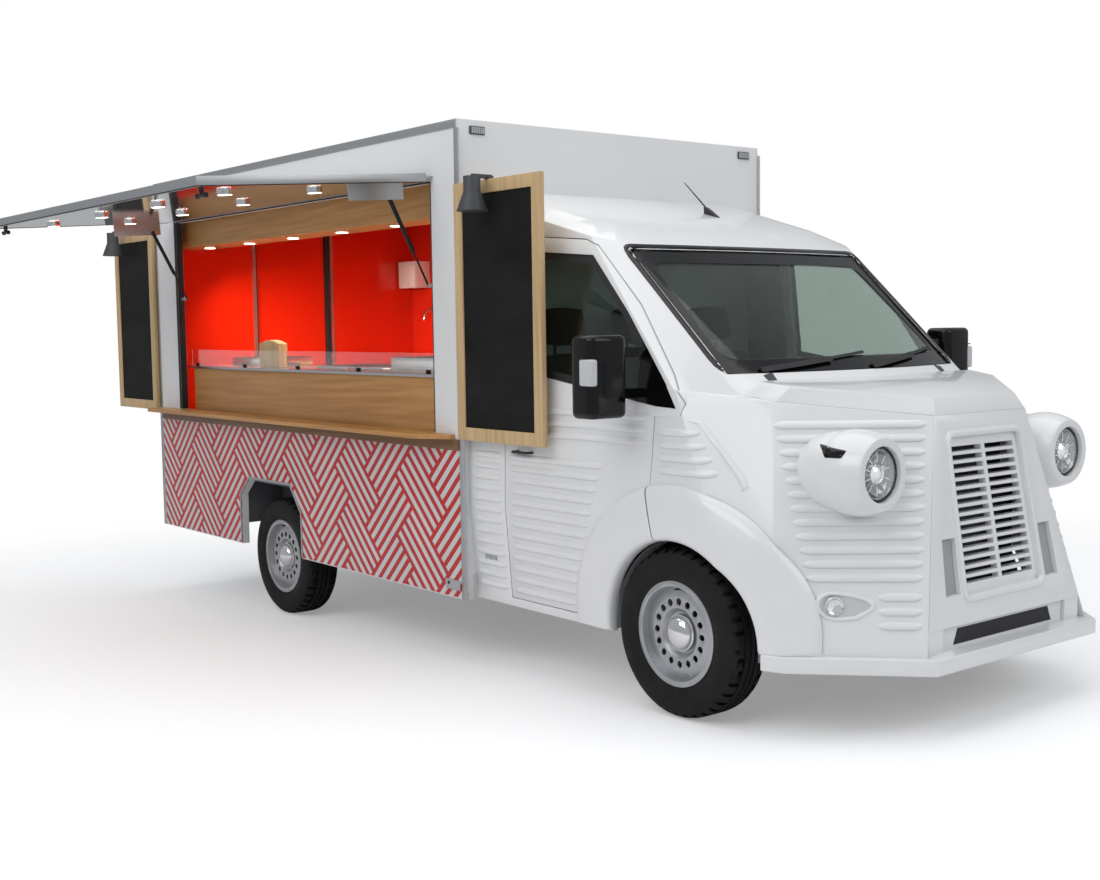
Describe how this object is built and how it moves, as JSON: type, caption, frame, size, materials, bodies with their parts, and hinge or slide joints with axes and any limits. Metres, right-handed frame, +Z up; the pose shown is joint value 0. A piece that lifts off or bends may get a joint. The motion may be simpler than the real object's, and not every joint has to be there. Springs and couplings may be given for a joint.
{
  "type": "food truck",
  "caption": "Retro-nosed box-body food truck with a raised serving hatch on gas struts, fold-out chalkboards, opening doors and bonnet, and steered, rolling wheels.",
  "frame": {"origin": "on the ground under the middle of the overall box", "axes": "+X ahead towards the nose, +Y to the left, +Z up"},
  "size_m": [6.6602, 3.5906, 2.7766],
  "materials": {
    "white_paint": "gloss",
    "white_panel": "gloss",
    "aluminium": "satin",
    "red_weave": "gloss",
    "red_gloss": "gloss",
    "oak": "satin",
    "slate": "matte",
    "lamp_grey": "satin",
    "steel": "satin",
    "clear_glass": "gloss",
    "tinted_glass": "gloss",
    "black_plastic": "satin",
    "black_metal": "satin",
    "chrome_rod": "gloss",
    "seat_cloth": "matte",
    "floor_grey": "matte",
    "iron": "matte",
    "tyre": "matte",
    "wheel_silver": "satin"
  },
  "bodies": {
    "base": {"box_floor": "floor_grey", "box_roof": "white_panel", "box_trim": "aluminium", "box_wall_front": "white_panel", "box_wall_left": "white_panel", "box_wall_rear": "white_panel", "box_wall_right": "white_panel", "bumper": "white_paint", "cab_glass": "tinted_glass", "cab_shell": "white_paint", "chassis_frame": "black_metal", "counter": "oak", "counter_top": "steel", "dashboard": "black_plastic", "door_right": "white_paint", "engine": "black_metal", "front_suspension": "black_metal", "glass_guard": "clear_glass", "grille": "white_paint", "headlamp_pods": "white_paint", "lamps": "clear_glass", "mirror_right": "black_plastic", "nose_panel": "white_paint", "rear_axle": "black_metal", "seats": "seat_cloth", "serving_shelf": "oak", "soffit": "oak", "striped_panel": "red_weave", "towel_box": "white_panel", "wall_lining": "red_gloss", "wing_left": "white_paint", "wing_right": "white_paint"},
    "knuckle_right": {"knuckle_right": "iron"},
    "knuckle_left": {"knuckle_left": "iron"},
    "hatch": {"hatch": "aluminium", "hatch_lights": "clear_glass"},
    "strut_barrels": {"strut_barrels": "black_metal"},
    "strut_rods": {"strut_rods": "chrome_rod"},
    "board_front": {"board_front": "oak", "slate_front": "slate", "bell_lamp_front": "lamp_grey"},
    "board_rear": {"board_rear": "oak", "slate_rear": "slate", "bell_lamp_rear": "lamp_grey"},
    "bonnet": {"bonnet": "white_paint"},
    "door_left": {"door_left": "white_paint", "door_glass_left": "tinted_glass", "mirror_left": "black_plastic"},
    "rear_door": {"rear_door": "white_panel"},
    "wheel_front_right": {"tyre_front_right": "tyre", "rim_front_right": "wheel_silver"},
    "wheel_front_left": {"tyre_front_left": "tyre", "rim_front_left": "wheel_silver"},
    "wheel_rear_right": {"tyre_rear_right": "tyre", "rim_rear_right": "wheel_silver"},
    "wheel_rear_left": {"tyre_rear_left": "tyre", "rim_rear_left": "wheel_silver"}
  },
  "joints": [
    {"name": "steer_right", "type": "hinge", "parent": "base", "child": "knuckle_right", "pos_m": [2.34565, -0.31467, 0.355], "axis": [0.0296, 0, 0.9996], "range_deg": [-30, 30]},
    {"name": "steer_left", "type": "hinge", "parent": "base", "child": "knuckle_left", "pos_m": [2.34565, 1.30533, 0.355], "axis": [0.0296, 0, 0.9996], "range_deg": [-30, 30]},
    {"name": "spin_front_right", "type": "hinge", "parent": "knuckle_right", "child": "wheel_front_right", "pos_m": [2.34565, -0.39967, 0.355], "axis": [0, 1, 0], "continuous": true},
    {"name": "spin_front_left", "type": "hinge", "parent": "knuckle_left", "child": "wheel_front_left", "pos_m": [2.34565, 1.39033, 0.355], "axis": [0, 1, 0], "continuous": true},
    {"name": "spin_rear_right", "type": "hinge", "parent": "base", "child": "wheel_rear_right", "pos_m": [-1.10585, -0.38967, 0.355], "axis": [0, 1, 0], "continuous": true},
    {"name": "spin_rear_left", "type": "hinge", "parent": "base", "child": "wheel_rear_left", "pos_m": [-1.10585, 1.38033, 0.355], "axis": [0, 1, 0], "continuous": true},
    {"name": "hatch_fold", "type": "hinge", "parent": "base", "child": "hatch", "pos_m": [-0.76347, -0.58167, 2.4608], "axis": [0.9996, 0, -0.0296], "range_deg": [0, 84]},
    {"name": "strut_swing", "type": "hinge", "parent": "hatch", "child": "strut_barrels", "pos_m": [-0.76632, -0.75065, 2.36443], "axis": [0.9996, 0, -0.0296], "range_deg": [-117, 2]},
    {"name": "strut_slide", "type": "slide", "parent": "strut_barrels", "child": "strut_rods", "axis": [-0.0263, 0.4591, -0.888], "range_m": [-0.137, 0.002]},
    {"name": "board_front_swing", "type": "hinge", "parent": "base", "child": "board_front", "pos_m": [0.97402, -0.57067, 1.74114], "axis": [-0.0296, 0, -0.9996], "range_deg": [0, 90]},
    {"name": "board_rear_swing", "type": "hinge", "parent": "base", "child": "board_rear", "pos_m": [-2.6474, -0.57067, 1.84821], "axis": [0.0296, 0, 0.9996], "range_deg": [0, 90]},
    {"name": "bonnet_lift", "type": "hinge", "parent": "base", "child": "bonnet", "pos_m": [2.60144, 0.49533, 1.39289], "axis": [0, -1, 0], "range_deg": [0, 50]},
    {"name": "door_left_swing", "type": "hinge", "parent": "base", "child": "door_left", "pos_m": [2.4326, 1.49733, 1.1978], "axis": [-0.0296, 0, -0.9996], "range_deg": [0, 65]},
    {"name": "rear_door_swing", "type": "hinge", "parent": "base", "child": "rear_door", "pos_m": [-2.66226, 0.79333, 1.54852], "axis": [-0.0296, 0, -0.9996], "range_deg": [0, 100]}
  ],
  "couplings": [
    {"joint": "steer_left", "follows": "steer_right", "ratio": 1},
    {"joint": "strut_swing", "follows": "hatch_fold", "ratio": -1.3747},
    {"joint": "strut_slide", "follows": "hatch_fold", "m_per_rad": -0.0919}
  ]
}
